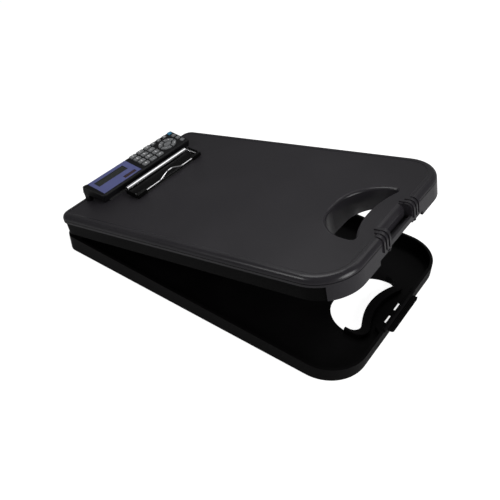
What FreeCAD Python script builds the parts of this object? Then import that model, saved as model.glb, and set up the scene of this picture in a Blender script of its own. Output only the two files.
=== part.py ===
"""Storage clipboard box: a shallow tray with a hinged lid that is also the writing board.

The tray stands on z = 0 with its length along X, hinge end at -X and carrying handle at +X.
The lid, the paper clip and the calculator are drawn in the lid's own frame: its X runs from the
hinge axis towards the handle, its Z is square to the board, and its Z = 0 is the lid's lower edge.
The calculator has a frame of its own, tilted on the lid towards the reader.
All lengths are millimetres and all angles are degrees.
"""
import FreeCAD
import Part
import math
import os

# Whole case
case_length = 400.0
case_width = 252.0
corner_radius_hinge = 14.0
corner_radius_handle = 45.0
rim_height_hinge = 23.0
rim_height_handle = 17.5
lid_gap = 0.4
lid_open_angle = 13.9
overrun = 2.0
seat_gap = 0.1
side_clearance = 0.3

# Tray
tray_wall = 3.6
tray_floor = 2.6
tray_base_fillet = 2.4
tray_inner_fillet = 2.0
tray_collar_wall = 3.4
tray_grip_wall = 10.0
tray_grip_start = 34.0
tray_grip_below_rim = 8.8
deck_height = 9.0
deck_length = 16.0
deck_half_width = 41.0
deck_front_half_width = 32.0
deck_slot_setback = 10.0
deck_slot_first = 4.3
deck_slot_length = 14.7
deck_slot_width = 2.6

# Hand holes of the tray and of the lid
tray_hole_setback = 75.0
tray_hole_length = 38.5
tray_hole_half_width = 50.0
tray_hole_corner_radius = 38.0
tray_hole_grip_radius = 82.0
tray_hole_tip_radius = 9.0
lid_hole_setback = 77.9
lid_hole_length = 41.0
lid_hole_half_width = 52.0
lid_hole_corner_radius = 47.0
lid_hole_grip_radius = 110.0
lid_hole_tip_radius = 4.0
lid_hole_draft = 6.0

# Hinge along the hinge end
hinge_barrel_radius = 3.2
hinge_pin_radius = 1.4
hinge_knuckle_length = 37.6
hinge_knuckle_gap = 0.4
hinge_running_fit = 0.08
hinge_clearance = 0.4
tray_knuckle_turns = (-2, 0, 2)
lid_knuckle_turns = (-1, 1)

# Lid shell
lid_end_setback = 3.1
lid_top = 26.4
lid_plate = 2.4
lid_wall = 2.6
shoulder_radius = 6.5
shoulder_inner_radius = 4.0
board_step_inset = 8.5
board_step_slope = 1.6
board_step_depth = 0.6
skirt_length = 19.9
bead_bottom = 16.2
bead_top = 18.8
bead_fillet = 1.1
groove_height = 1.0
groove_depth = 0.8
lid_collar_wall = 2.6
lid_collar_drop = 0.2
hole_edge_fillet = 3.0

# Lid frame, the dark U-shaped band under the bead
frame_inset = 1.7
frame_wall = 3.0
frame_tongue_height = 2.4
frame_tongue_clearance = 0.1

# Thumb recess and grip ribs on the lid's handle edge
recess_half_width = 24.6
recess_length = 5.8
recess_wall = 2.2
recess_floor_height = 9.4
recess_floor = 2.0
recess_shoulder_radius = 8.0
lip_thickness = 3.0
lip_top = 13.0
skirt_cut_half_width = 49.6
skirt_cut_height = 5.0
grip_rib_width = 3.0
grip_rib_pitch = 6.0
grip_rib_first_distance = 28.4
grip_rib_count = 3
grip_rib_height = 1.5
grip_rib_bottom = 9.5
grip_rib_setback = 15.4
grip_rib_stagger = 3.5
grip_rib_end_fillet = 1.3

# Latch flap on the tray's handle edge
latch_half_width = 32.0
latch_barrel_radius = 2.6
latch_axis_drop = 1.2
latch_pin_radius = 1.2
latch_plate = 2.0
latch_corner_radius = 3.0
latch_hook_width = 4.0
latch_hook_thickness = 1.2
latch_hook_clearance = 0.3
latch_hook_gap = 0.35
latch_lug_length = 6.0
latch_clearance = 0.4
latch_rib_first = 3.2
latch_rib_pitch = 1.7
latch_rib_count = 3
latch_rib_width = 0.8
latch_rib_height = 0.8
latch_rib_half_length = 26.0
catch_reach = 1.0
catch_height = 0.8

# Paper clip on the lid
clip_half_length = 56.0
clip_axis_distance = 57.5
clip_axis_height = 8.0
clip_tube_radius = 3.1
clip_tube_bore = 2.3
clip_bushing_length = 6.0
clip_wire_radius = 1.05
clip_wire_fit = 0.08
clip_wire_side_gap = 1.2
clip_wire_bend = 3.0
clip_front_distance = 79.0
clip_front_height = 3.6
clip_bump_half_length = 20.0
clip_bump_flat_half = 5.0
clip_bump_height = 5.6
clip_bump_offset = 2.0
jaw_thickness = 1.2
jaw_wire_gap = 0.2
jaw_flange_gap = 0.3
jaw_flange_height = 4.6
jaw_back_distance = 3.9
jaw_lip_thickness = 2.0
jaw_block_length = 16.0
jaw_block_height = 1.2
grip_strip_thickness = 1.2
grip_strip_width = 3.6
grip_strip_end_gap = 12.0
base_plate_thickness = 1.2
base_plate_back = 6.0
base_plate_front = 14.0
base_plate_end_gap = 6.0
saddle_half_width = 3.0
saddle_length = 12.0
saddle_end_distance = 22.0
rivet_radius = 2.4
rivet_height = 1.1
rivet_shank_radius = 1.4
rivet_distance = 9.5
rivet_end_distance = 14.0
spring_radius = 1.9
spring_wire = 0.6
spring_end_distance = 18.0

# Calculator on the lid
calc_tilt = 17.0
calc_back = 10.4
calc_back_height = 12.0
calc_width = 34.0
calc_half_length = 80.0
calc_depth = 9.0
calc_split = 4.6
calc_wall = 1.6
calc_top_plate = 1.6
calc_edge_chamfer = 1.0
calc_front_fillet = 2.6
cradle_lip = 1.4
cradle_wall = 2.0
cradle_end_gap = 5.0
end_cap_length = 6.8
end_cap_front_length = 3.0
end_cap_fillet = 1.2
end_cap_foot = 7.0
end_cap_arch = 9.0

# Calculator face: widths from its back edge; the window begins at the display's end and the keys at the other
face_margin = 1.2
face_front_margin = 3.6
face_border = 10.0
face_depth = 0.8
face_step_gap = 0.1
window_back = 6.0
window_width = 10.0
window_end_distance = 7.0
window_sheet = 0.8
solar_back = 23.0
solar_width = 5.0
solar_length = 21.0
solar_border = 6.0

# Calculator inside
board_thickness = 1.2
board_height = 2.6
board_clearance = 0.6
mat_thickness = 1.0
mat_face_gap = 3.0
battery_radius = 5.6
battery_height = 1.0
battery_window_offset = 13.0
screw_radius = 1.1
screw_head_radius = 1.9
screw_head_height = 0.9
screw_end_distance = 5.0
screw_post_clearance = 0.1

# Calculator keys
key_clearance = 0.3
key_flange = 0.45
key_flange_clearance = 0.15
key_flange_thickness = 0.8
key_rise = 1.3
key_fillet = 0.7
number_key_length = 10.6
number_key_width = 5.2
number_key_face_step = 12.9
number_key_pitch = 13.7
number_row_pitch = 7.65
number_row_first = 3.7
number_rows = 4
number_columns = 3
small_key_length = 6.4
small_key_width = 4.0
small_key_step = 11.7
small_key_pitch = 11.4
small_key_count = 3
end_key_length = 6.0
end_key_width = 4.4
end_key_step = 11.4
end_key_end_distance = 5.8
end_key_count = 4
pad_small_key_offset = 12.6
pad_centre_distance = 18.6
pad_half_length = 14.6
pad_half_width = 9.4
pad_oval_half_length = 6.4
pad_oval_half_width = 3.4
pad_ring_gap = 2.0
pad_split = 2.4

# Places worked out from the sizes above
hinge_x = -case_length / 2
handle_x = case_length / 2
half_width = case_width / 2
rim_slope = (rim_height_hinge - rim_height_handle) / case_length
rim_angle = math.degrees(math.atan(rim_slope))
axis_z = rim_height_hinge + lid_gap
lid_tilt = lid_open_angle - rim_angle
knuckle_pitch = hinge_knuckle_length + hinge_knuckle_gap
knuckle_end = max(tray_knuckle_turns) * knuckle_pitch + hinge_knuckle_length / 2
board_top = lid_top - board_step_depth
lid_length = case_length - lid_end_setback
lid_hole_start = lid_length - lid_hole_setback
tray_hole_start = case_length - tray_hole_setback
skirt_start = lid_length - skirt_length
wire_side = clip_half_length + clip_wire_side_gap + clip_wire_radius
jaw_half_length = wire_side + clip_wire_radius + jaw_flange_gap + jaw_thickness
base_plate_half_length = clip_half_length - base_plate_end_gap
saddle_places = (saddle_end_distance - clip_half_length, clip_half_length - saddle_end_distance)
rivet_places = (rivet_end_distance - clip_half_length, 0, clip_half_length - rivet_end_distance)
spring_half_length = clip_half_length - spring_end_distance
latch_x = handle_x - tray_wall / 2
latch_z = rim_height_handle - latch_axis_drop
catch_top_z = rim_height_handle + lid_gap + skirt_cut_height + catch_height
latch_reach = catch_top_z + latch_hook_clearance - latch_z
clip_x = clip_axis_distance
clip_z = board_top + clip_axis_height
cradle_base_back = board_step_inset + board_step_slope + side_clearance
number_keys_span = (number_columns - 1) * number_key_pitch
small_keys_span = (small_key_count - 1) * small_key_pitch
end_key_place = calc_half_length - end_key_end_distance
small_key_first = end_key_place - end_key_step - small_keys_span
pad_place = small_key_first + pad_small_key_offset
number_key_first = small_key_first - small_key_step - number_keys_span
face_end = number_key_first - number_key_face_step
mat_start = face_end + mat_face_gap
window_start = window_end_distance - calc_half_length
window_end = face_end - face_border
solar_end = face_end - solar_border
solar_start = solar_end - solar_length
battery_place = window_start + battery_window_offset


def vector(x, y, z):
    return FreeCAD.Vector(x, y, z)


def box(x0, x1, y0, y1, z0, z1):
    """Box between two corners."""
    return Part.makeBox(x1 - x0, y1 - y0, z1 - z0, vector(x0, y0, z0))


def rod_along_y(radius, x, z, y0, y1):
    return Part.makeCylinder(radius, y1 - y0, vector(x, y0, z), vector(0, 1, 0))


def rod_along_z(radius, x, y, z0, z1):
    return Part.makeCylinder(radius, z1 - z0, vector(x, y, z0), vector(0, 0, 1))


def profile_along_y(points, y0, y1):
    """Prism along Y from a closed outline of (x, z) points."""
    corners = [vector(x, y0, z) for x, z in points]
    face = Part.Face(Part.makePolygon(corners + corners[:1]))
    return face.extrude(vector(0, y1 - y0, 0))


def rim_z(x):
    """Height of the tray's sloping rim at x."""
    return rim_height_hinge - rim_slope * (x - hinge_x)


def case_outline(x0, x1, inset, z):
    """Rounded outline of the case with small corners at x0 and large ones at x1."""
    small = corner_radius_hinge - inset
    large = corner_radius_handle - inset
    left, right, side = x0 + inset, x1 - inset, half_width - inset
    diagonal = math.sqrt(0.5)
    near_large = vector(right - large, large - side, z)
    far_large = vector(right - large, side - large, z)
    far_small = vector(left + small, side - small, z)
    near_small = vector(left + small, small - side, z)

    def corner(centre, radius, sign_x, sign_y, start, end):
        middle = centre + vector(sign_x * radius * diagonal, sign_y * radius * diagonal, 0)
        return Part.Arc(start, middle, end).toShape()

    edges = [
        Part.makeLine(vector(left + small, -side, z), vector(right - large, -side, z)),
        corner(near_large, large, 1, -1, vector(right - large, -side, z), vector(right, large - side, z)),
        Part.makeLine(vector(right, large - side, z), vector(right, side - large, z)),
        corner(far_large, large, 1, 1, vector(right, side - large, z), vector(right - large, side, z)),
        Part.makeLine(vector(right - large, side, z), vector(left + small, side, z)),
        corner(far_small, small, -1, 1, vector(left + small, side, z), vector(left, side - small, z)),
        Part.makeLine(vector(left, side - small, z), vector(left, small - side, z)),
        corner(near_small, small, -1, -1, vector(left, small - side, z), vector(left + small, -side, z)),
    ]
    return Part.Wire(edges)


def case_slab(x0, x1, inset, z0, z1):
    """Solid of the case outline between two heights."""
    return Part.Face(case_outline(x0, x1, inset, z0)).extrude(vector(0, 0, z1 - z0))


def kidney_outline(start, length, side, corner, grip, tip, z):
    """Kidney outline: round towards the hinge, bowed in along the grip, with two small tips."""
    grip_centre = start + length + grip
    tip_y = side - tip
    tip_x = grip_centre - math.sqrt((grip + tip) ** 2 - tip_y ** 2)
    toward_x = (grip_centre - tip_x) / (grip + tip)
    toward_y = tip_y / (grip + tip)
    meet_x = grip_centre - grip * toward_x
    meet_y = grip * toward_y
    diagonal = math.sqrt(0.5)
    bulge = math.hypot(toward_x, 1 - toward_y)
    tip_mid_x = tip_x + tip * toward_x / bulge
    tip_mid_y = tip_y + tip * (1 - toward_y) / bulge
    corner_x = start + corner
    corner_y = side - corner
    corner_mid_x = corner_x - corner * diagonal
    corner_mid_y = corner_y + corner * diagonal

    def arc(ax, ay, bx, by, cx, cy):
        return Part.Arc(vector(ax, ay, z), vector(bx, by, z), vector(cx, cy, z)).toShape()

    edges = [
        Part.makeLine(vector(start, -corner_y, z), vector(start, corner_y, z)),
        arc(start, corner_y, corner_mid_x, corner_mid_y, corner_x, side),
        Part.makeLine(vector(corner_x, side, z), vector(tip_x, side, z)),
        arc(tip_x, side, tip_mid_x, tip_mid_y, meet_x, meet_y),
        arc(meet_x, meet_y, grip_centre - grip, 0, meet_x, -meet_y),
        arc(meet_x, -meet_y, tip_mid_x, -tip_mid_y, tip_x, -side),
        Part.makeLine(vector(tip_x, -side, z), vector(corner_x, -side, z)),
        arc(corner_x, -side, corner_mid_x, -corner_mid_y, start, -corner_y),
    ]
    return Part.Wire(edges)


def tray_hole_slab(grow, longer, z0, z1):
    """Upright solid of the tray's hand hole, grown by a wall and made longer on the grip side."""
    outline = kidney_outline(hinge_x + tray_hole_start - grow, tray_hole_length + 2 * grow + longer,
                             tray_hole_half_width + grow, tray_hole_corner_radius + grow,
                             tray_hole_grip_radius - grow, tray_hole_tip_radius + grow, z0)
    return Part.Face(outline).extrude(vector(0, 0, z1 - z0))


def lid_hole_outline(grow, z):
    """The lid's hand hole at one height; its hinge side leans towards the handle going down."""
    lean = lid_hole_draft * (board_top - z) / board_top
    return kidney_outline(lid_hole_start + lean - grow, lid_hole_length - lean + 2 * grow,
                          lid_hole_half_width + grow, lid_hole_corner_radius - lean + grow,
                          lid_hole_grip_radius - grow, lid_hole_tip_radius + grow, z)


def lid_hole_tunnel(grow, z0, z1):
    return Part.makeLoft([lid_hole_outline(grow, z0), lid_hole_outline(grow, z1)], True, True)


def edges_at_height(shape, z, tolerance=1e-4):
    """Edges of a shape that lie wholly at one height."""
    chosen = []
    for edge in shape.Edges:
        bounds = edge.BoundBox
        if abs(bounds.ZMin - z) < tolerance and abs(bounds.ZMax - z) < tolerance:
            chosen.append(edge)
    return chosen


def knuckle_spans(turns):
    """Ends along Y of the hinge knuckles at the given turns of the pitch."""
    return [(turn * knuckle_pitch - hinge_knuckle_length / 2,
             turn * knuckle_pitch + hinge_knuckle_length / 2) for turn in turns]


def above_rim(drop):
    """Everything above a plane parallel to the rim and below it by drop."""
    x0 = hinge_x - hinge_barrel_radius - overrun
    x1 = handle_x + latch_barrel_radius + overrun
    top = rim_height_hinge + hinge_barrel_radius + overrun
    points = [(x0, rim_z(x0) - drop), (x1, rim_z(x1) - drop), (x1, top), (x0, top)]
    return profile_along_y(points, -half_width - overrun, half_width + overrun)


def tray_grip():
    """Raised grip along the handle side of the hand hole."""
    grip_x = hinge_x + tray_hole_start + tray_grip_start
    grip = tray_hole_slab(tray_collar_wall, tray_grip_wall - tray_collar_wall, 0, rim_height_hinge)
    grip = grip.cut(box(hinge_x, grip_x, -case_width, case_width, -overrun, rim_height_hinge + overrun))
    return grip.cut(above_rim(tray_grip_below_rim))


def deck_slab(inset, z0, z1):
    """Outline of the latch's deck between two heights, wider towards the handle wall."""
    x0 = handle_x - deck_length + inset
    x1 = handle_x - inset
    front = deck_front_half_width - inset
    back = deck_half_width - inset
    corners = [vector(x0, -front, z0), vector(x0, front, z0), vector(x1, back, z0), vector(x1, -back, z0)]
    return Part.Face(Part.makePolygon(corners + corners[:1])).extrude(vector(0, 0, z1 - z0))


def add_deck(tray):
    """Raises the floor in front of the latch to a deck with two narrow slots."""
    tray = tray.fuse(deck_slab(tray_wall / 2, 0, deck_height))
    tray = tray.cut(deck_slab(tray_wall, -overrun, deck_height - tray_floor))
    x0 = handle_x - deck_slot_setback
    for side in (-1, 1):
        y0, y1 = sorted((side * deck_slot_first, side * (deck_slot_first + deck_slot_length)))
        tray = tray.cut(box(x0, x0 + deck_slot_width, y0, y1, -overrun, deck_height + overrun))
    return tray


def tray_shell():
    """Open tray with a sloping rim, a hand hole and the seats of the hinge and the latch."""
    outer = case_slab(hinge_x, handle_x, 0, 0, rim_height_hinge)
    outer = outer.makeFillet(tray_base_fillet, edges_at_height(outer, 0))
    cavity = case_slab(hinge_x, handle_x, tray_wall, tray_floor, rim_height_hinge + overrun)
    cavity = cavity.makeFillet(tray_inner_fillet, edges_at_height(cavity, tray_floor))
    tray = outer.cut(cavity).cut(above_rim(0))
    tray = tray.fuse(tray_grip())
    tray = add_deck(tray)
    tray = tray.cut(tray_hole_slab(0, 0, -overrun, rim_height_hinge))
    for y0, y1 in knuckle_spans(lid_knuckle_turns):
        clear = hinge_barrel_radius + hinge_clearance
        tray = tray.cut(rod_along_y(clear, hinge_x, axis_z, y0 - hinge_knuckle_gap, y1 + hinge_knuckle_gap))
    for y0, y1 in knuckle_spans(tray_knuckle_turns):
        tray = tray.fuse(rod_along_y(hinge_barrel_radius, hinge_x, axis_z, y0, y1))
    tray = tray.cut(rod_along_y(hinge_pin_radius, hinge_x, axis_z, -knuckle_end, knuckle_end))
    return latch_seat(tray).removeSplitter()


def latch_seat(tray):
    """Cuts the latch's notch in the handle wall and adds a lug at each end of it."""
    notch_half = latch_half_width + latch_clearance + latch_lug_length
    clear = latch_barrel_radius + latch_clearance
    notch = box(handle_x - tray_wall - overrun, handle_x + overrun, -notch_half, notch_half,
                latch_z, rim_height_hinge)
    tray = tray.cut(notch)
    inner = latch_half_width + latch_clearance
    tray = tray.cut(box(handle_x - tray_wall - overrun, handle_x + overrun, -inner, inner,
                        latch_z - clear, rim_height_hinge))
    for side in (-1, 1):
        y0, y1 = sorted((side * inner, side * notch_half))
        tray = tray.fuse(rod_along_y(latch_barrel_radius, latch_x, latch_z, y0, y1))
        web = box(handle_x - tray_wall, handle_x, y0, y1, latch_z - latch_barrel_radius, latch_z)
        tray = tray.fuse(web)
    return tray.cut(rod_along_y(latch_pin_radius, latch_x, latch_z, -notch_half, notch_half))


def hinge_pin():
    """Steel pin through all the knuckles."""
    return rod_along_y(hinge_pin_radius, hinge_x, axis_z, -knuckle_end, knuckle_end)


def latch_pin():
    end = latch_half_width + latch_clearance + latch_lug_length
    return rod_along_y(latch_pin_radius, latch_x, latch_z, -end, end)


def latch_flap():
    """Flap lying open outside the handle wall: a barrel and a ribbed plate with two hooks at its edge."""
    outer_x = latch_x + latch_reach + latch_hook_thickness
    bottom = latch_z - latch_barrel_radius - latch_clearance + seat_gap
    plate_top = bottom + latch_plate
    hook_top = latch_z + latch_x - hinge_x - lid_length - latch_hook_gap
    plate = box(latch_x, outer_x, -latch_half_width, latch_half_width, bottom, plate_top)
    for index in range(latch_rib_count):
        x0 = latch_x + latch_rib_first + index * latch_rib_pitch
        plate = plate.fuse(box(x0, x0 + latch_rib_width, -latch_rib_half_length, latch_rib_half_length,
                               bottom, plate_top + latch_rib_height))
    for side in (-1, 1):
        y0, y1 = sorted((side * (latch_half_width - latch_hook_width), side * latch_half_width))
        plate = plate.fuse(box(latch_x + latch_reach, outer_x, y0, y1, bottom, hook_top))
    plan = box(latch_x, outer_x, -latch_half_width, latch_half_width, bottom, hook_top)
    corners = [edge for edge in plan.Edges if edge.BoundBox.XMin > latch_x and edge.BoundBox.YLength < overrun
               and edge.BoundBox.ZLength > latch_plate]
    plate = plate.common(plan.makeFillet(latch_corner_radius, corners))
    barrel = rod_along_y(latch_barrel_radius, latch_x, latch_z, -latch_half_width, latch_half_width)
    bore = rod_along_y(latch_pin_radius + hinge_running_fit, latch_x, latch_z,
                       -latch_half_width - overrun, latch_half_width + overrun)
    return plate.fuse(barrel).cut(bore).removeSplitter()


def board_pocket():
    """Shallow slope-sided step that sinks the writing surface below the lid's rim."""
    low = case_outline(0, lid_length, board_step_inset + board_step_slope, board_top)
    high = case_outline(0, lid_length, board_step_inset, lid_top)
    slope = Part.makeLoft([low, high], True, True)
    above = case_slab(0, lid_length, board_step_inset, lid_top, lid_top + overrun)
    return slope.fuse(above)


def grip_ribs():
    """Raised ribs that wrap over the handle edge on both sides of the thumb recess."""
    ribs = []
    top = board_top + grip_rib_height
    front = lid_length + grip_rib_height
    radius = shoulder_radius + grip_rib_height - board_step_depth
    inner = lid_length - lid_wall
    for index in range(grip_rib_count):
        start = lid_length - grip_rib_setback + index * grip_rib_stagger
        centre = grip_rib_first_distance + index * grip_rib_pitch
        points = [(start, board_top - lid_plate / 2), (start, top), (front, top), (front, grip_rib_bottom),
                  (inner, grip_rib_bottom), (inner, board_top - lid_plate / 2)]
        for side in (-1, 1):
            y0 = side * centre - grip_rib_width / 2
            rib = profile_along_y(points, y0, y0 + grip_rib_width)
            outer_top = [edge for edge in rib.Edges if on_line(edge, front, top)]
            rib = rib.makeFillet(radius, outer_top)
            inner_top = [edge for edge in rib.Edges if on_line(edge, start, top)]
            ribs.append(rib.makeFillet(grip_rib_end_fillet, inner_top))
    return ribs


def on_line(edge, x, z, tolerance=1e-4):
    """True for an edge along Y at the given x and z."""
    bounds = edge.BoundBox
    flat_x = abs(bounds.XMin - x) < tolerance and abs(bounds.XMax - x) < tolerance
    flat_z = abs(bounds.ZMin - z) < tolerance and abs(bounds.ZMax - z) < tolerance
    return flat_x and flat_z


def add_thumb_recess(shell):
    """Adds the thumb recess on the handle edge, opens the skirt below its lip and adds two catches."""
    inner_x = lid_length - lip_thickness - recess_length
    outer_half = recess_half_width + recess_wall
    lip_bottom = recess_floor_height - recess_floor
    round_x = inner_x - recess_shoulder_radius
    round_z = board_top - recess_shoulder_radius
    block = box(round_x, lid_length - lid_wall, -outer_half, outer_half, lip_bottom, lid_top - lid_plate)
    hollow = box(round_x - overrun, inner_x - recess_wall, -outer_half - overrun, outer_half + overrun,
                 lip_bottom - overrun, round_z)
    under_round = rod_along_y(recess_shoulder_radius - recess_wall, round_x, round_z,
                              -outer_half - overrun, outer_half + overrun)
    shell = shell.fuse(block.cut(hollow).cut(under_round))
    over_round = box(round_x, inner_x, -recess_half_width, recess_half_width, round_z, lid_top + overrun)
    over_round = over_round.cut(rod_along_y(recess_shoulder_radius, round_x, round_z,
                                            -recess_half_width, recess_half_width))
    pocket = box(inner_x, lid_length - lip_thickness, -recess_half_width, recess_half_width,
                 recess_floor_height, lid_top + overrun)
    over_lip = box(inner_x, lid_length + overrun, -recess_half_width, recess_half_width,
                   lip_top, lid_top + overrun)
    under_lip = box(lid_length - lip_thickness - overrun, lid_length + overrun,
                    -recess_half_width, recess_half_width, -overrun, lip_bottom)
    step = box(lid_length - lip_thickness - overrun, lid_length + overrun,
               -skirt_cut_half_width, skirt_cut_half_width, -overrun, skirt_cut_height)
    for tool in (over_round, pocket, over_lip, under_lip, step):
        shell = shell.cut(tool)
    for side in (-1, 1):
        inner = latch_half_width - latch_hook_width + side_clearance
        y0, y1 = sorted((side * inner, side * (latch_half_width - side_clearance)))
        catch = box(lid_length - lid_wall, lid_length + catch_reach, y0, y1,
                    skirt_cut_height, skirt_cut_height + catch_height)
        shell = shell.fuse(catch)
    return shell


def lid_shell():
    """Charcoal upper shell of the lid: board, round shoulder, bead, handle skirt and hand hole."""
    outer = case_slab(0, lid_length, 0, 0, lid_top)
    outer = outer.makeFillet(shoulder_radius, edges_at_height(outer, lid_top))
    cavity = case_slab(0, lid_length, lid_wall, -overrun, lid_top - lid_plate)
    cavity = cavity.makeFillet(shoulder_inner_radius, edges_at_height(cavity, lid_top - lid_plate))
    shell = outer.cut(cavity)
    shell = shell.cut(box(-overrun, skirt_start, -case_width, case_width, -overrun, bead_bottom))
    ring = case_slab(0, lid_length, -overrun, bead_top, bead_top + groove_height)
    shell = shell.cut(ring.cut(case_slab(0, lid_length, groove_depth, 0, lid_top)))
    shell = shell.cut(board_pocket())
    shell = shell.fuse(lid_hole_tunnel(lid_collar_wall, -lid_collar_drop, lid_top - lid_plate))
    shell = add_thumb_recess(shell)
    shell = shell.cut(lid_hole_tunnel(0, -lid_collar_drop - overrun, lid_top + overrun))
    shell = shell.removeSplitter()
    hole_box = lid_hole_tunnel(overrun, board_top - overrun, board_top + overrun).BoundBox
    rim = [edge for edge in edges_at_height(shell, board_top) if hole_box.isInside(edge.BoundBox)]
    shell = shell.makeFillet(hole_edge_fillet, rim)
    for rib in grip_ribs():
        shell = shell.fuse(rib)
    return shell.removeSplitter()


def lid_frame():
    """Dark U-shaped frame under the bead, with the lid's hinge knuckles on its end wall."""
    low_outer = case_slab(0, lid_length, frame_inset, 0, bead_bottom - seat_gap)
    tongue_inset = lid_wall + frame_tongue_clearance
    tongue = case_slab(0, lid_length, tongue_inset, 0, bead_bottom + frame_tongue_height)
    hollow = case_slab(0, lid_length, frame_inset + frame_wall, -overrun, lid_top)
    frame = low_outer.fuse(tongue).cut(hollow)
    frame = frame.cut(box(skirt_start - side_clearance, lid_length + overrun, -case_width, case_width,
                          -overrun, lid_top))
    for y0, y1 in knuckle_spans(tray_knuckle_turns):
        clear = hinge_barrel_radius + hinge_clearance
        frame = frame.cut(rod_along_y(clear, 0, 0, y0 - hinge_knuckle_gap, y1 + hinge_knuckle_gap))
    for y0, y1 in knuckle_spans(lid_knuckle_turns):
        knuckle = rod_along_y(hinge_barrel_radius, 0, 0, y0, y1)
        web = box(0, frame_inset + frame_wall, y0, y1, 0, hinge_barrel_radius)
        frame = frame.fuse(knuckle).fuse(web)
    bore = rod_along_y(hinge_pin_radius + hinge_running_fit, 0, 0, -knuckle_end, knuckle_end)
    return frame.cut(bore).removeSplitter()


def clip_base_plate():
    """Steel plate on the board with two saddles under the clip's tube."""
    z1 = board_top + base_plate_thickness
    plate = box(clip_x - base_plate_back, clip_x + base_plate_front,
                -base_plate_half_length, base_plate_half_length, board_top, z1)
    for y in saddle_places:
        saddle = box(clip_x - saddle_half_width, clip_x + saddle_half_width,
                     y - saddle_length / 2, y + saddle_length / 2, board_top, clip_z)
        plate = plate.fuse(saddle)
    plate = plate.cut(rod_along_y(clip_tube_radius, clip_x, clip_z, -clip_half_length, clip_half_length))
    for y in rivet_places:
        plate = plate.cut(rod_along_z(rivet_shank_radius, clip_x + rivet_distance, y,
                                      board_top - overrun, z1 + overrun))
    return plate.removeSplitter()


def clip_rivet(y):
    """One rivet: a domed head on the base plate and a shank through it."""
    z1 = board_top + base_plate_thickness
    x = clip_x + rivet_distance
    head = rod_along_z(rivet_radius, x, y, z1, z1 + rivet_height)
    head = head.makeFillet(rivet_height / 2, edges_at_height(head, z1 + rivet_height))
    return head.fuse(rod_along_z(rivet_shank_radius, x, y, board_top, z1))


def clip_rivets():
    return Part.makeCompound([clip_rivet(y) for y in rivet_places])


def clip_tube():
    """Chrome hinge tube of the clip, open at both ends."""
    tube = rod_along_y(clip_tube_radius, clip_x, clip_z, -clip_half_length, clip_half_length)
    return tube.cut(rod_along_y(clip_tube_bore, clip_x, clip_z, -clip_half_length, clip_half_length))


def clip_bushing(side):
    """Plain bushing pressed into one end of the tube, in which the wire turns."""
    depth = clip_half_length - clip_wire_radius
    y0, y1 = sorted((side * depth, side * (depth - clip_bushing_length)))
    bushing = rod_along_y(clip_tube_bore, clip_x, clip_z, y0, y1)
    return bushing.cut(rod_along_y(clip_wire_radius + clip_wire_fit, clip_x, clip_z, y0, y1))


def clip_spring():
    """Closed coil of the return spring inside the tube."""
    spring = rod_along_y(spring_radius, clip_x, clip_z, -spring_half_length, spring_half_length)
    return spring.cut(rod_along_y(spring_radius - spring_wire, clip_x, clip_z,
                                  -spring_half_length, spring_half_length))


def bend_point(corner, toward, distance):
    """Point at a distance from a corner along the way to another point."""
    step = toward.sub(corner)
    step.normalize()
    return corner.add(step.multiply(distance))


def bent_wire(points, radius, bend):
    """Round wire along straight runs that are joined by equal bends."""
    edges = []
    previous = points[0]
    for before, corner, after in zip(points, points[1:], points[2:]):
        start = bend_point(corner, before, bend)
        end = bend_point(corner, after, bend)
        middle_chord = start.add(end).multiply(1 / 2)
        half_turn = start.sub(corner).getAngle(end.sub(corner)) / 2
        arc_radius = bend * math.tan(half_turn)
        centre_distance = bend / math.cos(half_turn)
        middle = bend_point(corner, middle_chord, centre_distance - arc_radius)
        edges.append(Part.makeLine(previous, start))
        edges.append(Part.Arc(start, middle, end).toShape())
        previous = end
    edges.append(Part.makeLine(previous, points[-1]))
    path = Part.Wire(edges)
    direction = points[1].sub(points[0])
    section = Part.Wire(Part.makeCircle(radius, points[0], direction))
    return path.makePipeShell([section], True, False)


def clip_wire():
    """Wire bail: from the tube's ends along both sides of the jaw and across its front."""
    side = wire_side
    inside = clip_half_length - clip_wire_radius - clip_bushing_length
    front_x = clip_front_distance
    front_z = board_top + clip_front_height
    bump_z = front_z + clip_bump_height
    low_start = clip_bump_offset - clip_bump_half_length
    low_end = clip_bump_offset + clip_bump_half_length
    flat_start = clip_bump_offset - clip_bump_flat_half
    flat_end = clip_bump_offset + clip_bump_flat_half
    points = [
        vector(clip_x, -inside, clip_z),
        vector(clip_x, -side, clip_z),
        vector(front_x, -side, front_z),
        vector(front_x, low_start, front_z),
        vector(front_x, flat_start, bump_z),
        vector(front_x, flat_end, bump_z),
        vector(front_x, low_end, front_z),
        vector(front_x, side, front_z),
        vector(clip_x, side, clip_z),
        vector(clip_x, inside, clip_z),
    ]
    return bent_wire(points, clip_wire_radius, clip_wire_bend)


def jaw_points():
    """Ends of the jaw plate's top in side view: below the wire's legs behind, and under its front run."""
    fall = (clip_axis_height - clip_front_height) / (clip_front_distance - clip_axis_distance)
    back_x = clip_x + jaw_back_distance
    wire_below = clip_wire_radius * math.hypot(1, fall) + jaw_wire_gap
    back_z = clip_z - fall * jaw_back_distance - wire_below
    front_x = clip_front_distance + clip_wire_radius
    front_z = board_top + clip_front_height - clip_wire_radius
    return back_x, back_z, front_x, front_z


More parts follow.
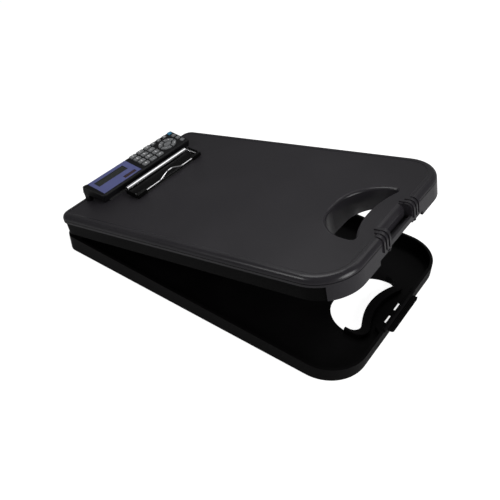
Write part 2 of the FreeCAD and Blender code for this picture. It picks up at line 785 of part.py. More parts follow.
def clip_jaw():
    """Black pressed plate under the wire, with a flange and a block over the wire at each end."""
    back_x, back_z, front_x, front_z = jaw_points()
    flat_x = clip_front_distance - clip_wire_radius - jaw_lip_thickness
    top = [(back_x, back_z), (flat_x, front_z), (front_x, front_z)]
    underside = [(x, z - jaw_thickness) for x, z in reversed(top)]
    jaw = profile_along_y(top + underside, -jaw_half_length, jaw_half_length)
    raised = [(back_x, back_z + jaw_flange_height), (flat_x, front_z + jaw_flange_height)]
    flange_side = raised + [(flat_x, front_z - jaw_thickness), (back_x, back_z - jaw_thickness)]
    block_top = board_top + clip_front_height + clip_wire_radius + jaw_block_height
    for side in (-1, 1):
        y0, y1 = sorted((side * jaw_half_length, side * (jaw_half_length - jaw_thickness)))
        jaw = jaw.fuse(profile_along_y(flange_side, y0, y1))
        y0, y1 = sorted((side * jaw_half_length, side * (jaw_half_length - jaw_block_length)))
        block = box(flat_x, front_x + jaw_block_height, y0, y1, front_z - jaw_thickness, block_top)
        block = block.makeFillet(jaw_block_height / 2, edges_at_height(block, block_top))
        jaw = jaw.fuse(block)
    return jaw.cut(clip_wire()).removeSplitter()


def jaw_grip_strip():
    """Rubber strip under the jaw's front edge that holds the paper."""
    back_x, back_z, front_x, front_z = jaw_points()
    z1 = front_z - jaw_thickness
    half = jaw_half_length - grip_strip_end_gap
    return box(front_x - grip_strip_width, front_x, -half, half, z1 - grip_strip_thickness, z1)


def to_calc(shape):
    """Moves a piece from the calculator's frame to the lid's frame."""
    placed = shape.copy()
    placed.rotate(vector(0, 0, 0), vector(0, 1, 0), calc_tilt)
    placed.translate(vector(calc_back, 0, board_top + calc_back_height))
    return placed


def calc_cradle():
    """Hollow wedge that carries the calculator on the lid."""
    tilt = math.radians(calc_tilt)
    back = (calc_back, board_top + calc_back_height)
    front = (calc_back + calc_width * math.cos(tilt),
             board_top + calc_back_height - calc_width * math.sin(tilt))
    half = calc_half_length - cradle_end_gap
    outer = [(cradle_base_back, board_top), back, front, (front[0] + cradle_lip, board_top)]
    wedge = profile_along_y(outer, -half, half)
    lower = board_top - overrun
    wall_z = cradle_wall / math.cos(tilt)
    front_wall = cradle_wall + wall_z / math.tan(tilt)
    inner = [(back[0] + cradle_wall, lower),
             (back[0] + cradle_wall, back[1] - cradle_wall * math.tan(tilt) - wall_z),
             (front[0] - front_wall, front[1] - wall_z + front_wall * math.tan(tilt)),
             (front[0] - cradle_wall, lower)]
    hollow = profile_along_y(inner, cradle_wall - half, half - cradle_wall)
    return wedge.cut(hollow)


def calc_end_cap():
    """Rounded cap on the display end of the case, with a foot on the board at its back."""
    near = -calc_half_length
    back_y = near - end_cap_length
    front_y = near - end_cap_front_length
    corners = [vector(0, near, 0), vector(0, back_y, 0), vector(calc_width, front_y, 0),
               vector(calc_width, near, 0)]
    plan = Part.Face(Part.makePolygon(corners + corners[:1]))
    cap = plan.extrude(vector(0, 0, calc_depth))
    outer = [edge for edge in cap.Edges if edge.BoundBox.YMax < near and edge.BoundBox.ZMax > 0]
    cap = to_calc(cap.makeFillet(end_cap_fillet, outer))
    tilt = math.radians(calc_tilt)
    under_z = board_top + calc_back_height - end_cap_arch * math.sin(tilt)
    side = [(cradle_base_back, board_top), (calc_back, board_top + calc_back_height),
            (calc_back + end_cap_arch * math.cos(tilt), under_z), (cradle_base_back + end_cap_foot, board_top)]
    foot = profile_along_y(side, back_y + end_cap_fillet, near)
    return cap.fuse(foot).removeSplitter()


def calc_block(inset, z0, z1):
    """Plain block of the calculator's outline, drawn in its own frame."""
    return box(inset, calc_width - inset, inset - calc_half_length, calc_half_length - inset, z0, z1)


def screw_places():
    """Places of the four case screws, one near each corner."""
    x0 = screw_end_distance
    x1 = calc_width - screw_end_distance
    y = calc_half_length - screw_end_distance
    return [(x0, -y), (x1, -y), (x0, y), (x1, y)]


def calc_lower_case():
    """Lower half of the calculator's case."""
    case = calc_block(0, 0, calc_split)
    case = case.cut(calc_block(calc_wall, calc_wall, calc_split + overrun))
    for x, y in screw_places():
        case = case.fuse(rod_along_z(screw_head_radius, x, y, calc_wall / 2, calc_split))
        case = case.cut(rod_along_z(screw_radius, x, y, -overrun, calc_split + overrun))
        case = case.cut(rod_along_z(screw_head_radius, x, y, -overrun, screw_head_height))
    return to_calc(case.removeSplitter())


def calc_upper_case():
    """Upper half of the case, with an opening for each key and a step for the faceplate."""
    case = calc_block(0, calc_split, calc_depth)
    front = [edge for edge in case.Edges if on_line(edge, calc_width, calc_depth)]
    case = case.makeFillet(calc_front_fillet, front)
    back = [edge for edge in case.Edges if on_line(edge, 0, calc_depth)]
    case = case.makeChamfer(calc_edge_chamfer, back)
    case = case.cut(calc_block(calc_wall, calc_split - overrun, calc_depth - calc_top_plate))
    step = box(face_margin, calc_width - face_front_margin, face_margin - calc_half_length, face_end,
               calc_depth - face_depth, calc_depth + overrun)
    case = case.cut(step)
    window = box(window_back, window_back + window_width, window_start, window_end,
                 calc_split, calc_depth + overrun)
    solar = box(solar_back, solar_back + solar_width, solar_start, solar_end,
                calc_split, calc_depth + overrun)
    case = case.cut(window).cut(solar)
    for name, outline in key_outlines():
        case = case.cut(outline(key_clearance, calc_split, calc_depth + overrun))
        case = case.cut(outline(key_flange + key_flange_clearance, calc_split, calc_depth - calc_top_plate))
    return to_calc(case)


def calc_faceplate():
    """Thin coloured plate around the display and the solar cell."""
    gap = face_step_gap
    plate = box(face_margin + gap, calc_width - face_front_margin - gap,
                face_margin + gap - calc_half_length, face_end - gap, calc_depth - face_depth, calc_depth)
    plate = plate.cut(box(window_back, window_back + window_width, window_start, window_end, 0, calc_depth))
    plate = plate.cut(box(solar_back, solar_back + solar_width, solar_start, solar_end, 0, calc_depth))
    return to_calc(plate)


def display_window():
    """Clear sheet set in the display opening, flush with the faceplate."""
    gap = face_step_gap
    return to_calc(box(window_back + gap, window_back + window_width - gap, window_start + gap,
                       window_end - gap, calc_depth - window_sheet, calc_depth))


def display_panel():
    """Liquid crystal panel standing on the circuit board under the window."""
    gap = face_step_gap
    top = calc_depth - window_sheet - gap
    return to_calc(box(window_back + gap, window_back + window_width - gap, window_start + gap,
                       window_end - gap, board_height + board_thickness, top))


def solar_cell():
    gap = face_step_gap
    top = calc_depth - face_depth / 2
    return to_calc(box(solar_back + gap, solar_back + solar_width - gap, solar_start + gap,
                       solar_end - gap, board_height + board_thickness, top))


def clear_of_posts(sheet):
    """Cuts holes in a flat sheet round the screw posts."""
    for x, y in screw_places():
        sheet = sheet.cut(rod_along_z(screw_head_radius + screw_post_clearance, x, y, 0, calc_depth))
    return sheet


def circuit_board():
    """Circuit board between the case halves, with holes round the screw posts."""
    inset = calc_wall + board_clearance
    board = calc_block(inset, board_height, board_height + board_thickness)
    return to_calc(clear_of_posts(board))


def board_supports():
    """Two foam strips that hold the circuit board off the lower case."""
    inset = calc_wall + board_clearance
    y1 = calc_half_length - screw_end_distance - screw_head_radius - board_clearance
    strips = []
    for x0 in (inset, calc_width - inset - calc_wall):
        strips.append(box(x0, x0 + calc_wall, mat_start, y1, calc_wall, board_height))
    return to_calc(Part.makeCompound(strips))


def key_mat():
    """Rubber key mat on the circuit board."""
    inset = calc_wall + board_clearance
    z0 = board_height + board_thickness
    mat = box(inset, calc_width - inset, mat_start, calc_half_length - inset, z0, z0 + mat_thickness)
    return to_calc(clear_of_posts(mat))


def battery():
    """Button cell under the circuit board."""
    return to_calc(rod_along_z(battery_radius, calc_width / 2, battery_place, calc_wall,
                               calc_wall + battery_height))


def case_screws():
    """Four screws that close the case from below."""
    screws = []
    for x, y in screw_places():
        head = rod_along_z(screw_head_radius, x, y, 0, screw_head_height)
        screws.append(head.fuse(rod_along_z(screw_radius, x, y, 0, calc_split)))
    return to_calc(Part.makeCompound(screws))


def round_box(x0, x1, y0, y1, grow, z0, z1):
    """Box grown by a clearance on its four sides, with rounded upright edges."""
    block = box(x0 - grow, x1 + grow, y0 - grow, y1 + grow, z0, z1)
    upright = [edge for edge in block.Edges if edge.BoundBox.ZLength > (z1 - z0) / 2]
    return block.makeFillet(key_fillet + grow, upright)


def rectangle_key(x, y, width, length):
    """Maker of a rectangular key's outline solid at a given clearance."""
    def outline(grow, z0, z1):
        return round_box(x - width / 2, x + width / 2, y - length / 2, y + length / 2, grow, z0, z1)
    return outline


def oval_prism(half_width, half_length, z0, z1):
    """Elliptical prism around the centre of the direction pad."""
    major, minor = max(half_length, half_width), min(half_length, half_width)
    tip = vector(pad_centre_distance, pad_place + major, z0)
    side = vector(pad_centre_distance + minor, pad_place, z0)
    centre = vector(pad_centre_distance, pad_place, z0)
    ellipse = Part.Ellipse(tip, side, centre).toShape()
    return Part.Face(Part.Wire(ellipse)).extrude(vector(0, 0, z1 - z0))


def oval_key():
    """Maker of the oval key in the middle of the direction pad."""
    def outline(grow, z0, z1):
        return oval_prism(pad_oval_half_width + grow, pad_oval_half_length + grow, z0, z1)
    return outline


def pad_key(side_x, side_y):
    """Maker of one of the four arc keys around the oval key."""
    def outline(grow, z0, z1):
        outer = oval_prism(pad_half_width + grow, pad_half_length + grow, z0, z1)
        inner = oval_prism(pad_oval_half_width + pad_ring_gap - grow,
                           pad_oval_half_length + pad_ring_gap - grow, z0 - overrun, z1 + overrun)
        start = pad_split / 2 - grow
        reach = pad_half_length + overrun
        x0, x1 = sorted((pad_centre_distance + side_x * start, pad_centre_distance + side_x * reach))
        y0, y1 = sorted((pad_place + side_y * start, pad_place + side_y * reach))
        return outer.cut(inner).common(box(x0, x1, y0, y1, z0, z1))
    return outline


def key_outlines():
    """Name and outline maker of every key."""
    keys = []
    for row in range(number_rows):
        for column in range(number_columns):
            x = number_row_first + row * number_row_pitch
            y = number_key_first + column * number_key_pitch
            keys.append((f"key_number_r{row + 1}_c{column + 1}",
                         rectangle_key(x, y, number_key_width, number_key_length)))
    for index in range(small_key_count):
        y = small_key_first + index * small_key_pitch
        keys.append((f"key_small_{index + 1}",
                     rectangle_key(number_row_first, y, small_key_width, small_key_length)))
    for index in range(end_key_count):
        x = number_row_first + index * number_row_pitch
        keys.append((f"key_end_{index + 1}",
                     rectangle_key(x, end_key_place, end_key_width, end_key_length)))
    corners = (("back_near", -1, -1), ("back_far", -1, 1), ("front_near", 1, -1), ("front_far", 1, 1))
    for name, side_x, side_y in corners:
        keys.append((f"key_pad_{name}", pad_key(side_x, side_y)))
    keys.append(("key_pad_centre", oval_key()))
    return keys


def key_cap(outline):
    """Key: a cap through its opening and a flange that keeps it under the top plate."""
    flange_top = calc_depth - calc_top_plate - seat_gap
    flange_bottom = flange_top - key_flange_thickness
    cap = outline(0, flange_bottom, calc_depth + key_rise)
    flange = outline(key_flange, flange_bottom, flange_top)
    return to_calc(cap.fuse(flange))


def place_on_lid(shape):
    """Moves a piece from the lid's frame to its place, with the lid partly open."""
    placed = shape.copy()
    placed.rotate(vector(0, 0, 0), vector(0, -1, 0), lid_tilt)
    placed.translate(vector(hinge_x, 0, axis_z))
    return placed


def tray_nodes():
    return {
        "tray_shell": tray_shell(),
        "hinge_pin": hinge_pin(),
        "latch_pin": latch_pin(),
        "latch_flap": latch_flap(),
    }


def lid_nodes():
    nodes = {
        "lid_shell": lid_shell(),
        "lid_frame": lid_frame(),
        "clip_base_plate": clip_base_plate(),
        "clip_rivets": clip_rivets(),
        "clip_tube": clip_tube(),
        "clip_bushing_near": clip_bushing(-1),
        "clip_bushing_far": clip_bushing(1),
        "clip_spring": clip_spring(),
        "clip_wire": clip_wire(),
        "clip_jaw": clip_jaw(),
        "jaw_grip_strip": jaw_grip_strip(),
        "calculator_cradle": calc_cradle(),
        "calculator_end_cap": calc_end_cap(),
        "calculator_lower_case": calc_lower_case(),
        "calculator_upper_case": calc_upper_case(),
        "calculator_faceplate": calc_faceplate(),
        "display_window": display_window(),
        "display_panel": display_panel(),
        "solar_cell": solar_cell(),
        "circuit_board": circuit_board(),
        "board_supports": board_supports(),
        "key_mat": key_mat(),
        "battery": battery(),
        "case_screws": case_screws(),
    }
    for name, outline in key_outlines():
        nodes[name] = key_cap(outline)
    return nodes


def main():
    os.makedirs("parts", exist_ok=True)
    nodes = tray_nodes()
    for name, shape in lid_nodes().items():
        nodes[name] = place_on_lid(shape)
    for name, shape in nodes.items():
        shape.exportStep(f"parts/{name}.step")
        print(name, "solids", len(shape.Solids), "valid", shape.isValid(), "volume", round(shape.Volume, 1))


main()
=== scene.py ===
"""Looks of the storage clipboard box: a dark tray, a charcoal writing lid, a chrome clip and a calculator."""

import math

import bpy
from mathutils import Matrix, Vector


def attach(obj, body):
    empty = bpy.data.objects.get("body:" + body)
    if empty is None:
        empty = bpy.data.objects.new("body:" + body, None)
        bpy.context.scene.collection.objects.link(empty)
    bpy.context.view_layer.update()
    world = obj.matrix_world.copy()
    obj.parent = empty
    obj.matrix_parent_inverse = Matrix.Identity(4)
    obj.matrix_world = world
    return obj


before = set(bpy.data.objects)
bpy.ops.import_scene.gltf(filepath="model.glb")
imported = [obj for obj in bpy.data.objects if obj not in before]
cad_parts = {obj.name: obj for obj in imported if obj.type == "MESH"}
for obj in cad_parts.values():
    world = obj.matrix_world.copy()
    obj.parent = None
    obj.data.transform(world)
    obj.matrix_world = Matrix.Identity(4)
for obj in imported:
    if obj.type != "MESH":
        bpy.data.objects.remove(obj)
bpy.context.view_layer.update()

MM = 0.001

# The camera, as the photograph was taken
IMAGE_WIDTH = 500
FOCAL_PIXELS = 646.5
SENSOR_MM = 36.0
CAMERA_AZIMUTH = math.radians(35.12)
CAMERA_ELEVATION = math.radians(40.56)
CAMERA_ROLL = math.radians(0.14)
CAMERA_DISTANCE = 820.88 * MM
CAMERA_TARGET = Vector((-6.88 * MM, 3.89 * MM, 0))
CAMERA_CLIP_START = 10 * MM

# Studio light: each lamp has a name, a place, a width and a height in metres, and a power in watts
WORLD_LIGHT = 0.12
MIRRORED_SHARE = 0.08
LIGHT_TARGET = Vector((0, 0, 0))
LIGHTS = (
    ("handle_side_light", (1.4, -0.15, 0.53), 0.9, 0.9, 14),
    ("top_light", (-0.02, -0.01, 0.41), 0.25, 0.25, 0.6),
    ("back_light", (0, 0.93, 1.24), 1.3, 0.45, 1.9),
    ("near_side_light", (-0.62, -0.95, 0.8), 0.4, 0.4, 3.2),
)

# Floor, with half of its side in metres, and how bright the camera sees it by itself
FLOOR_HALF_LENGTH = 3.0
FLOOR_COLOUR = (0.6, 0.6, 0.6)
FLOOR_ROUGHNESS = 0.9
FLOOR_LIFT = 0.86

# Frames of the lid and of the calculator, with the part's own sizes
CASE_LENGTH = 400.0 * MM
RIM_FALL = 5.5 * MM
HINGE_X = -CASE_LENGTH / 2
HINGE_Z = 23.4 * MM
LID_OPEN_ANGLE = math.radians(13.9)
LID_TILT = LID_OPEN_ANGLE - math.atan(RIM_FALL / CASE_LENGTH)
LID_UP = (-math.sin(LID_TILT), 0, math.cos(LID_TILT))
BOARD_TOP = 25.8 * MM
CALC_TILT = math.radians(17.0)
CALC_BACK = 10.4 * MM
CALC_BACK_HEIGHT = 12.0 * MM
CALC_DEPTH = 9.0 * MM
KEY_RISE = 1.3 * MM

# Places of the keys in the calculator's frame, as on the part
NUMBER_KEY_FIRST = 0.9 * MM
NUMBER_KEY_PITCH = 13.7 * MM
NUMBER_ROW_FIRST = 3.7 * MM
NUMBER_ROW_PITCH = 7.65 * MM
SMALL_KEY_FIRST = 40.0 * MM
SMALL_KEY_PITCH = 11.4 * MM
PAD_PLACE = 52.6 * MM
PAD_CENTRE_DISTANCE = 18.6 * MM

# Signs printed on the keys
PAD_SIGN_ASIDE = 8.6 * MM
PAD_SIGN_ALONG = 5.4 * MM
NUMBER_LEGENDS = ("789", "456", "123", "0.=")
SMALL_LEGENDS = ("%", "\N{SQUARE ROOT}", "\N{PLUS-MINUS SIGN}")
PAD_LEGENDS = {
    "back_near": "\N{DIVISION SIGN}",
    "back_far": "\N{MULTIPLICATION SIGN}",
    "front_near": "\N{MINUS SIGN}",
    "front_far": "+",
}
LEGEND_HEIGHT = 4.0 * MM
SMALL_LEGEND_HEIGHT = 3.2 * MM
LEGEND_THICKNESS = 0.03 * MM
LEGEND_STROKE_GROWTH = 0.18 * MM
LEGEND_TURN = math.radians(90)

# Noise values at which a colour ramp and a range of numbers start and end
RAMP_ENDS = (0.35, 0.65)
SPREAD_ENDS = (0.3, 0.7)

# Moulded plastic: scale and detail of its cloudy tone and of its grain
CLOUD_SCALE = 14
CLOUD_DETAIL = 3
GRAIN_SCALE = 1500
GRAIN_DETAIL = 2
GRAIN_STRENGTH = 0.35
GRAIN_DEPTH = 0.15 * MM

# The lid's plastic: grained board, smoother shoulder and bead
BOARD_GRAIN_SCALE = 1100
BOARD_GRAIN_STRENGTH = 0.4
BOARD_SPECULAR = 0.3
BOARD_ROUGHNESS = (0.45, 0.55)
SHOULDER_ROUGHNESS = 0.26
FLAT_ENDS = (0.96, 1)

# Drawn metal, with lines stretched along Y
LINE_SCALE = 900
LINE_DETAIL = 3
LINE_STRETCH = (1, 0.05, 1)
LINE_STRENGTH = 0.08
LINE_DEPTH = 0.05 * MM

# Display sheet
SMEAR_SCALE = 60
SMEAR_DETAIL = 3
SHEET_COLOUR = (0.03, 0.033, 0.03)
SHEET_ROUGHNESS = (0.05, 0.15)
SHEET_ALPHA = 0.3

LID_FRAME = Matrix.Translation((HINGE_X, 0, HINGE_Z)) @ Matrix.Rotation(-LID_TILT, 4, "Y")
CALC_PLACE = Matrix.Translation((CALC_BACK, 0, BOARD_TOP + CALC_BACK_HEIGHT))
CALC_FRAME = LID_FRAME @ CALC_PLACE @ Matrix.Rotation(CALC_TILT, 4, "Y")


def new_material(name):
    """Material with its nodes, its links and its main shader."""
    material = bpy.data.materials.new(name)
    material.use_nodes = True
    nodes = material.node_tree.nodes
    return material, nodes, material.node_tree.links, nodes["Principled BSDF"]


def noise(nodes, links, scale, detail, stretch=(1, 1, 1)):
    """Noise texture in the object's own metres, stretched along an axis where asked."""
    place = nodes.new("ShaderNodeTexCoord")
    mapping = nodes.new("ShaderNodeMapping")
    mapping.inputs["Scale"].default_value = stretch
    texture = nodes.new("ShaderNodeTexNoise")
    texture.inputs["Scale"].default_value = scale
    texture.inputs["Detail"].default_value = detail
    links.new(place.outputs["Object"], mapping.inputs["Vector"])
    links.new(mapping.outputs["Vector"], texture.inputs["Vector"])
    return texture.outputs["Fac"]


def ramp(nodes, links, value, colours):
    """Turns a noise value into a colour between two colours."""
    node = nodes.new("ShaderNodeValToRGB")
    for element, position, colour in zip(node.color_ramp.elements, RAMP_ENDS, colours):
        element.position = position
        element.color = (*colour, 1)
    links.new(value, node.inputs["Fac"])
    return node.outputs["Color"]


def map_range(nodes, links, value, source, target):
    """Maps a number from one range to another."""
    node = nodes.new("ShaderNodeMapRange")
    node.inputs["From Min"].default_value, node.inputs["From Max"].default_value = source
    node.inputs["To Min"].default_value, node.inputs["To Max"].default_value = target
    links.new(value, node.inputs["Value"])
    return node.outputs["Result"]


def add_bump(nodes, links, shader, value, strength, depth):
    """Makes a surface look raised where a value is high, by a depth in metres."""
    bump = nodes.new("ShaderNodeBump")
    bump.inputs["Strength"].default_value = strength
    bump.inputs["Distance"].default_value = depth
    links.new(value, bump.inputs["Height"])
    links.new(bump.outputs["Normal"], shader.inputs["Normal"])


def join(nodes, links, operation, first, second):
    """Math node that joins two values."""
    node = nodes.new("ShaderNodeMath")
    node.operation = operation
    links.new(first, node.inputs[0])
    links.new(second, node.inputs[1])
    return node.outputs["Value"]


def moulded_plastic(name, colours, roughness, grain=GRAIN_SCALE, strength=GRAIN_STRENGTH, specular=0.5):
    """Moulded plastic: a fine spark-eroded grain, faint cloudy tone and uneven sheen."""
    material, nodes, links, shader = new_material(name)
    cloud = noise(nodes, links, CLOUD_SCALE, CLOUD_DETAIL)
    fine = noise(nodes, links, grain, GRAIN_DETAIL)
    links.new(ramp(nodes, links, cloud, colours), shader.inputs["Base Color"])
    links.new(map_range(nodes, links, cloud, SPREAD_ENDS, roughness), shader.inputs["Roughness"])
    shader.inputs["Specular IOR Level"].default_value = specular
    add_bump(nodes, links, shader, fine, strength, GRAIN_DEPTH)
    return material


def board_plastic(name, colours):
    """The lid's plastic: grained where it is flat, smoother and glossier round its shoulder and bead."""
    material, nodes, links, shader = new_material(name)
    cloud = noise(nodes, links, CLOUD_SCALE, CLOUD_DETAIL)
    fine = noise(nodes, links, BOARD_GRAIN_SCALE, GRAIN_DETAIL)
    links.new(ramp(nodes, links, cloud, colours), shader.inputs["Base Color"])
    shader.inputs["Specular IOR Level"].default_value = BOARD_SPECULAR
    surface = nodes.new("ShaderNodeTexCoord")
    facing = nodes.new("ShaderNodeVectorMath")
    facing.operation = "DOT_PRODUCT"
    facing.inputs[1].default_value = LID_UP
    links.new(surface.outputs["Normal"], facing.inputs[0])
    flat = map_range(nodes, links, facing.outputs["Value"], FLAT_ENDS, (0, 1))
    rough = nodes.new("ShaderNodeMix")
    rough.inputs["A"].default_value = SHOULDER_ROUGHNESS
    links.new(flat, rough.inputs["Factor"])
    links.new(map_range(nodes, links, cloud, SPREAD_ENDS, BOARD_ROUGHNESS), rough.inputs["B"])
    links.new(rough.outputs["Result"], shader.inputs["Roughness"])
    grain = join(nodes, links, "MULTIPLY", flat, fine)
    add_bump(nodes, links, shader, grain, BOARD_GRAIN_STRENGTH, GRAIN_DEPTH)
    return material


def metal(name, colours, roughness):
    """Metal with fine drawing lines along one direction."""
    material, nodes, links, shader = new_material(name)
    lines = noise(nodes, links, LINE_SCALE, LINE_DETAIL, LINE_STRETCH)
    shader.inputs["Metallic"].default_value = 1
    links.new(ramp(nodes, links, lines, colours), shader.inputs["Base Color"])
    links.new(map_range(nodes, links, lines, SPREAD_ENDS, roughness), shader.inputs["Roughness"])
    add_bump(nodes, links, shader, lines, LINE_STRENGTH, LINE_DEPTH)
    return material


def display_glass(name):
    """Thin clear sheet with a faint smear, through which light falls on the panel."""
    material, nodes, links, shader = new_material(name)
    smear = noise(nodes, links, SMEAR_SCALE, SMEAR_DETAIL)
    links.new(map_range(nodes, links, smear, SPREAD_ENDS, SHEET_ROUGHNESS), shader.inputs["Roughness"])
    shader.inputs["Base Color"].default_value = (*SHEET_COLOUR, 1)
    shader.inputs["Alpha"].default_value = SHEET_ALPHA
    return material


# Each finish: its darker and lighter colour, its lowest and highest roughness, and what else it sets
MATERIALS = {
    # Painted shade: the lid's frame gets a near-black colour, darker than the lid's and the tray's plastic,
    # so its band below the bead reads as in shade.
    "frame": moulded_plastic(
        "frame_plastic_painted_shade", colours=((0.0012, 0.0011, 0.0012), (0.0018, 0.0017, 0.0018)),
        roughness=(0.4, 0.5), specular=0.05),
    "tray": moulded_plastic(
        "tray_plastic", colours=((0.0022, 0.002, 0.0022), (0.0032, 0.003, 0.0032)),
        roughness=(0.38, 0.5), specular=0.06),
    "lid": board_plastic(
        "lid_plastic", colours=((0.0182, 0.0168, 0.0198), (0.0215, 0.0199, 0.0232))),
    "trim": moulded_plastic(
        "trim_plastic", colours=((0.003, 0.003, 0.0033), (0.0045, 0.0045, 0.005)),
        roughness=(0.35, 0.5), specular=0.2),
    "case": moulded_plastic(
        "case_plastic", colours=((0.0045, 0.0045, 0.0052), (0.006, 0.006, 0.0068)),
        roughness=(0.32, 0.45), specular=0.2),
    "plate": moulded_plastic(
        "faceplate", colours=((0.092, 0.104, 0.25), (0.106, 0.118, 0.28)),
        roughness=(0.3, 0.4), grain=2200, strength=0.12, specular=0.4),
    "key": moulded_plastic(
        "key_plastic", colours=((0.15, 0.155, 0.16), (0.185, 0.19, 0.195)),
        roughness=(0.22, 0.32), grain=2200, strength=0.15),
    "teal_key": moulded_plastic(
        "teal_key_plastic", colours=((0.05, 0.2, 0.33), (0.06, 0.23, 0.38)),
        roughness=(0.22, 0.32), grain=2200, strength=0.15),
    "rubber": moulded_plastic(
        "rubber", colours=((0.01, 0.01, 0.01), (0.016, 0.016, 0.016)),
        roughness=(0.7, 0.85), specular=0.3),
    "jaw": moulded_plastic(
        "black_lacquer", colours=((0.0018, 0.0017, 0.0018), (0.0026, 0.0025, 0.0026)),
        roughness=(0.22, 0.34), grain=900, strength=0.1, specular=0.1),
    "circuit": moulded_plastic(
        "circuit_board", colours=((0.01, 0.09, 0.03), (0.015, 0.12, 0.045)),
        roughness=(0.35, 0.45)),
    "display": moulded_plastic(
        "display_panel", colours=((0.058, 0.06, 0.06), (0.068, 0.07, 0.07)),
        roughness=(0.3, 0.4), grain=3000, strength=0.05, specular=0.2),
    "solar": moulded_plastic(
        "solar_cell", colours=((0.030, 0.017, 0.022), (0.042, 0.024, 0.03)),
        roughness=(0.15, 0.25), grain=3000, strength=0.05),
    "ink": moulded_plastic(
        "key_print", colours=((0.75, 0.75, 0.75), (0.8, 0.8, 0.8)),
        roughness=(0.5, 0.6), grain=3000, strength=0.05),
    "chrome": metal("chrome", colours=((0.78, 0.78, 0.79), (0.9, 0.9, 0.91)), roughness=(0.08, 0.2)),
    "steel": metal("steel", colours=((0.42, 0.42, 0.43), (0.56, 0.56, 0.57)), roughness=(0.25, 0.4)),
    "glass": display_glass("display_glass"),
}

# The finish of each CAD node but the grey keys
FINISHES = {
    "tray_shell": "tray",
    "hinge_pin": "steel",
    "latch_pin": "steel",
    "latch_flap": "tray",
    "lid_shell": "lid",
    "lid_frame": "frame",
    "clip_base_plate": "jaw",
    "clip_rivets": "chrome",
    "clip_tube": "chrome",
    "clip_bushing_near": "trim",
    "clip_bushing_far": "trim",
    "clip_spring": "steel",
    "clip_wire": "chrome",
    "clip_jaw": "jaw",
    "jaw_grip_strip": "rubber",
    "calculator_cradle": "trim",
    "calculator_end_cap": "case",
    "calculator_lower_case": "case",
    "calculator_upper_case": "case",
    "calculator_faceplate": "plate",
    "display_window": "glass",
    "display_panel": "display",
    "solar_cell": "solar",
    "circuit_board": "circuit",
    "board_supports": "rubber",
    "key_mat": "rubber",
    "battery": "chrome",
    "case_screws": "steel",
    "key_end_1": "teal_key",
}


def dress_nodes():
    """Gives every CAD node its material."""
    for name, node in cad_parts.items():
        finish = FINISHES.get(name, "key")
        node.data.materials.clear()
        node.data.materials.append(MATERIALS[finish])


def add_legend(name, letters, body, x, y, height):
    """Printed sign lying on a key cap, upright for a reader at the handle end."""
    curve = bpy.data.curves.new(name, "FONT")
    curve.body = letters
    curve.size = height
    curve.align_x = "CENTER"
    curve.align_y = "CENTER"
    curve.extrude = LEGEND_THICKNESS
    curve.offset = LEGEND_STROKE_GROWTH
    mesh_source = bpy.data.objects.new(name + "_curve", curve)
    mesh = bpy.data.meshes.new_from_object(mesh_source)
    bpy.data.objects.remove(mesh_source)
    sign = bpy.data.objects.new(name, mesh)
    bpy.context.scene.collection.objects.link(sign)
    place = Matrix.Translation((x, y, CALC_DEPTH + KEY_RISE))
    sign.matrix_world = CALC_FRAME @ place @ Matrix.Rotation(LEGEND_TURN, 4, "Z")
    mesh.materials.clear()
    mesh.materials.append(MATERIALS["ink"])
    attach(sign, body)


def add_legends():
    """Plain digits and operators on the keys."""
    for row, letters in enumerate(NUMBER_LEGENDS):
        for column, letter in enumerate(letters):
            x = NUMBER_ROW_FIRST + row * NUMBER_ROW_PITCH
            y = NUMBER_KEY_FIRST + column * NUMBER_KEY_PITCH
            key = f"number_r{row + 1}_c{column + 1}"
            add_legend(f"legend_{key}", letter, f"key_{key}", x, y, LEGEND_HEIGHT)
    for index, letter in enumerate(SMALL_LEGENDS):
        y = SMALL_KEY_FIRST + index * SMALL_KEY_PITCH
        key = f"small_{index + 1}"
        add_legend(f"legend_{key}", letter, f"key_{key}", NUMBER_ROW_FIRST, y, SMALL_LEGEND_HEIGHT)
    for place, letter in PAD_LEGENDS.items():
        x = PAD_CENTRE_DISTANCE + (PAD_SIGN_ALONG if "front" in place else -PAD_SIGN_ALONG)
        y = PAD_PLACE + (PAD_SIGN_ASIDE if "far" in place else -PAD_SIGN_ASIDE)
        add_legend(f"legend_pad_{place}", letter, f"key_pad_{place}", x, y, SMALL_LEGEND_HEIGHT)


def add_camera():
    """Camera at the photograph's viewing angle and distance."""
    side = Vector((math.cos(CAMERA_AZIMUTH), math.sin(CAMERA_AZIMUTH), 0))
    back = Vector((math.sin(CAMERA_AZIMUTH) * math.cos(CAMERA_ELEVATION),
                   -math.cos(CAMERA_AZIMUTH) * math.cos(CAMERA_ELEVATION),
                   math.sin(CAMERA_ELEVATION)))
    up = back.cross(side)
    turn = Matrix((side, up, back)).transposed().to_4x4() @ Matrix.Rotation(CAMERA_ROLL, 4, "Z")
    data = bpy.data.cameras.new("camera")
    data.sensor_width = SENSOR_MM
    data.lens = FOCAL_PIXELS / IMAGE_WIDTH * SENSOR_MM
    data.clip_start = CAMERA_CLIP_START
    camera = bpy.data.objects.new("camera", data)
    bpy.context.scene.collection.objects.link(camera)
    camera.matrix_world = Matrix.Translation(CAMERA_TARGET + back * CAMERA_DISTANCE) @ turn
    bpy.context.scene.camera = camera


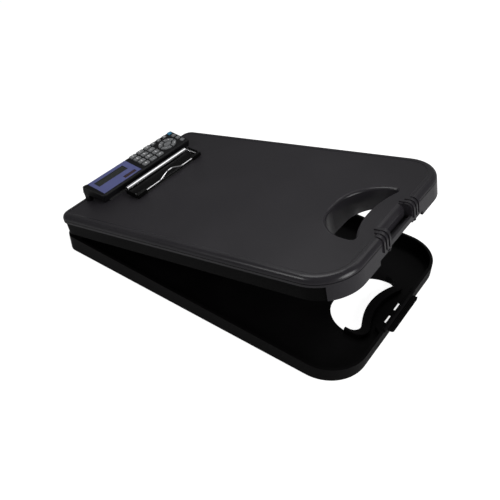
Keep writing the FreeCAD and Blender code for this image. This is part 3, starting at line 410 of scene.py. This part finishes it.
def add_area_light(name, place, width, height, power):
    """Soft elliptical lamp that faces the object."""
    data = bpy.data.lights.new(name, "AREA")
    data.shape = "ELLIPSE"
    data.size = width
    data.size_y = height
    data.energy = power
    light = bpy.data.objects.new(name, data)
    bpy.context.scene.collection.objects.link(light)
    light.location = place
    light.rotation_euler = (Vector(place) - LIGHT_TARGET).to_track_quat("Z", "Y").to_euler()


def seen_directly(nodes, links, other, seen):
    """One number for camera and glass rays, a share of it for mirror rays, and another for lighting rays."""
    path = nodes.new("ShaderNodeLightPath")
    mirrored = nodes.new("ShaderNodeMath")
    mirrored.operation = "MULTIPLY"
    mirrored.inputs[1].default_value = MIRRORED_SHARE
    links.new(path.outputs["Is Glossy Ray"], mirrored.inputs[0])
    through = join(nodes, links, "MAXIMUM", path.outputs["Is Transmission Ray"], mirrored.outputs["Value"])
    either = join(nodes, links, "MAXIMUM", path.outputs["Is Camera Ray"], through)
    return map_range(nodes, links, either, (0, 1), (other, seen))


def add_floor():
    """Wide pale floor that keeps the object's shadow, and that the camera sees as white away from it."""
    half = FLOOR_HALF_LENGTH
    corners = [(-half, -half, 0), (half, -half, 0), (half, half, 0), (-half, half, 0)]
    mesh = bpy.data.meshes.new("floor")
    mesh.from_pydata(corners, [], [(0, 1, 2, 3)])
    floor = bpy.data.objects.new("floor", mesh)
    bpy.context.scene.collection.objects.link(floor)
    material, nodes, links, shader = new_material("floor_white")
    shader.inputs["Base Color"].default_value = (*FLOOR_COLOUR, 1)
    shader.inputs["Roughness"].default_value = FLOOR_ROUGHNESS
    shader.inputs["Specular IOR Level"].default_value = 0
    shader.inputs["Emission Color"].default_value = (1, 1, 1, 1)
    links.new(seen_directly(nodes, links, 0, FLOOR_LIFT), shader.inputs["Emission Strength"])
    mesh.materials.append(material)


def add_world():
    """Even dim surroundings that the camera sees as white."""
    world = bpy.data.worlds.new("studio")
    bpy.context.scene.world = world
    world.use_nodes = True
    nodes = world.node_tree.nodes
    links = world.node_tree.links
    background = nodes["Background"]
    background.inputs["Color"].default_value = (1, 1, 1, 1)
    links.new(seen_directly(nodes, links, WORLD_LIGHT, 1), background.inputs["Strength"])


def main():
    dress_nodes()
    add_legends()
    add_camera()
    add_world()
    add_floor()
    for name, place, width, height, power in LIGHTS:
        add_area_light(name, place, width, height, power)
    bpy.context.scene.view_settings.view_transform = "Standard"


main()
